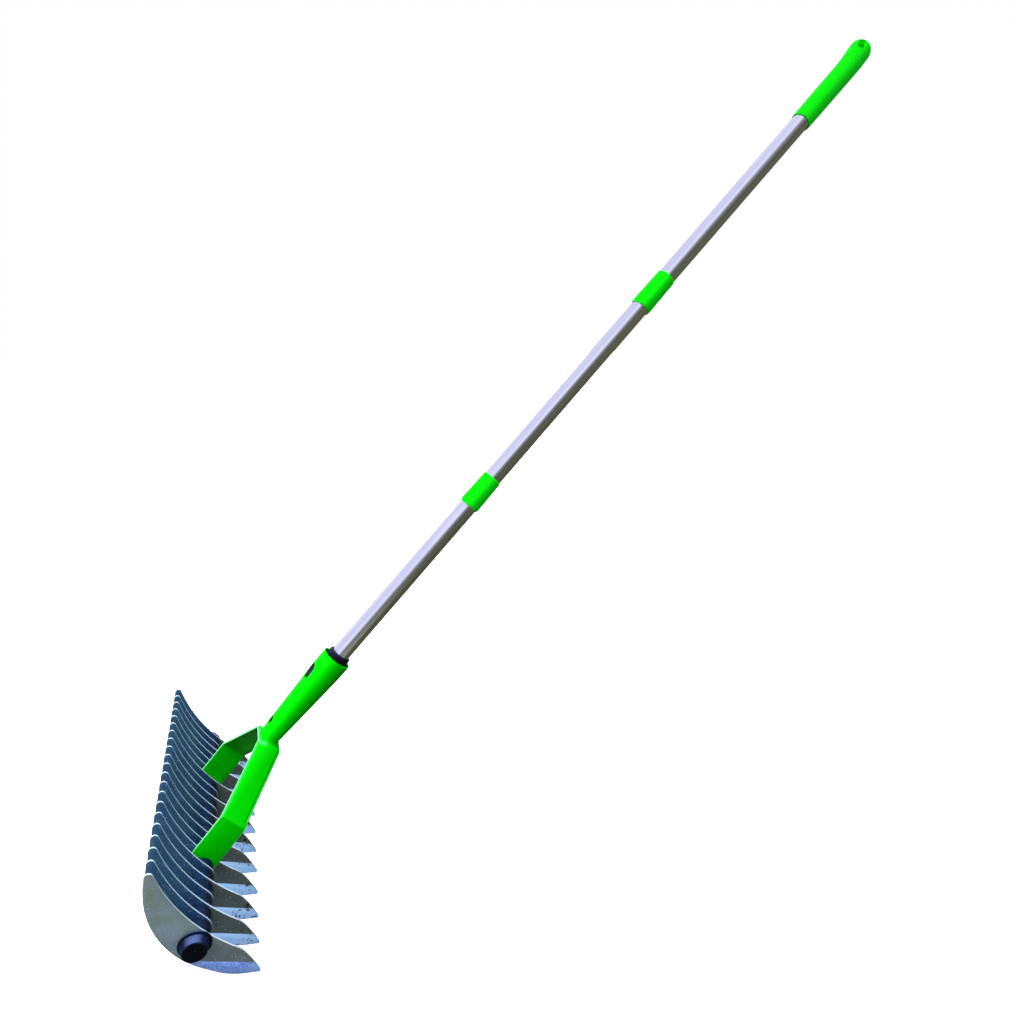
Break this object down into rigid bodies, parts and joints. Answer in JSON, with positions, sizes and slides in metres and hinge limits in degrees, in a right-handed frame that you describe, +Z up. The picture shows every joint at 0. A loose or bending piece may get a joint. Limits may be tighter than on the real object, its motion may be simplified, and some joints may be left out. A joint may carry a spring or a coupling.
{
  "type": "thatch rake",
  "caption": "Long handled thatch rake: crescent steel blades set on a rod between black spacers, a bent green yoke and socket, and a sectional steel pole with a green grip.",
  "frame": {"origin": "on the pole's axis in the middle of the hand grip, where the hand holds the rake", "axes": "+X along the blade rod towards the ground faces of the blades, +Y from the head towards the user over the lawn, +Z up; the pole rises at 45.5 degrees from the head to the grip"},
  "size_m": [0.3962, 1.0293, 1.0896],
  "materials": {
    "blade_steel": "satin, pale on the cut edges",
    "zinc_steel": "zinc plated",
    "stainless": "polished stainless tube",
    "black_plastic": "smooth black",
    "button_plastic": "smooth black",
    "plug_plastic": "plain dark",
    "green_paint": "glossy powder coat",
    "green_plastic": "satin moulded"
  },
  "bodies": {
    "head": {"blade_01": "blade_steel", "blade_02": "blade_steel", "blade_03": "blade_steel", "blade_04": "blade_steel", "blade_05": "blade_steel", "blade_06": "blade_steel", "blade_07": "blade_steel", "blade_08": "blade_steel", "blade_09": "blade_steel", "blade_10": "blade_steel", "blade_11": "blade_steel", "blade_12": "blade_steel", "blade_13": "blade_steel", "blade_14": "blade_steel", "blade_15": "blade_steel", "blade_16": "blade_steel", "blade_17": "blade_steel", "blade_18": "blade_steel", "blade_19": "blade_steel", "blade_20": "blade_steel", "blade_21": "blade_steel", "spacer_01": "black_plastic", "spacer_02": "black_plastic", "spacer_03": "black_plastic", "spacer_04": "black_plastic", "spacer_05": "black_plastic", "spacer_06": "black_plastic", "spacer_07": "black_plastic", "spacer_08": "black_plastic", "spacer_09": "black_plastic", "spacer_10": "black_plastic", "spacer_11": "black_plastic", "spacer_12": "black_plastic", "spacer_13": "black_plastic", "spacer_14": "black_plastic", "spacer_15": "black_plastic", "spacer_16": "black_plastic", "spacer_17": "black_plastic", "spacer_18": "black_plastic", "spacer_19": "black_plastic", "spacer_20": "black_plastic", "tie_rod": "zinc_steel", "nut_far": "zinc_steel", "nut_near": "zinc_steel", "end_cap_far": "black_plastic", "end_cap_near": "black_plastic", "yoke": "green_paint", "socket": "green_paint"},
    "lower_pole": {"pole_insert": "black_plastic", "lower_tube": "stainless", "coupler_1": "green_plastic"},
    "middle_pole": {"threaded_plug_1": "plug_plastic", "middle_tube": "stainless", "coupler_2": "green_plastic"},
    "upper_pole": {"threaded_plug_2": "plug_plastic", "upper_tube": "stainless", "hand_grip": "green_plastic"},
    "lock_button": {"lock_button": "button_plastic"}
  },
  "joints": [
    {"name": "pole_release", "type": "slide", "parent": "head", "child": "lower_pole", "axis": [0, 0.7009, 0.7133], "range_m": [0, 0.16]},
    {"name": "section_1_release", "type": "slide", "parent": "lower_pole", "child": "middle_pole", "axis": [0, 0.7009, 0.7133], "range_m": [0, 0.045]},
    {"name": "section_2_release", "type": "slide", "parent": "middle_pole", "child": "upper_pole", "axis": [0, 0.7009, 0.7133], "range_m": [0, 0.045]},
    {"name": "lock_button_press", "type": "slide", "parent": "lower_pole", "child": "lock_button", "axis": [-0.0872, 0.7105, -0.6982], "range_m": [0, 0.0018], "stiffness_N_per_m": 900, "springref_m": -0.0004}
  ]
}
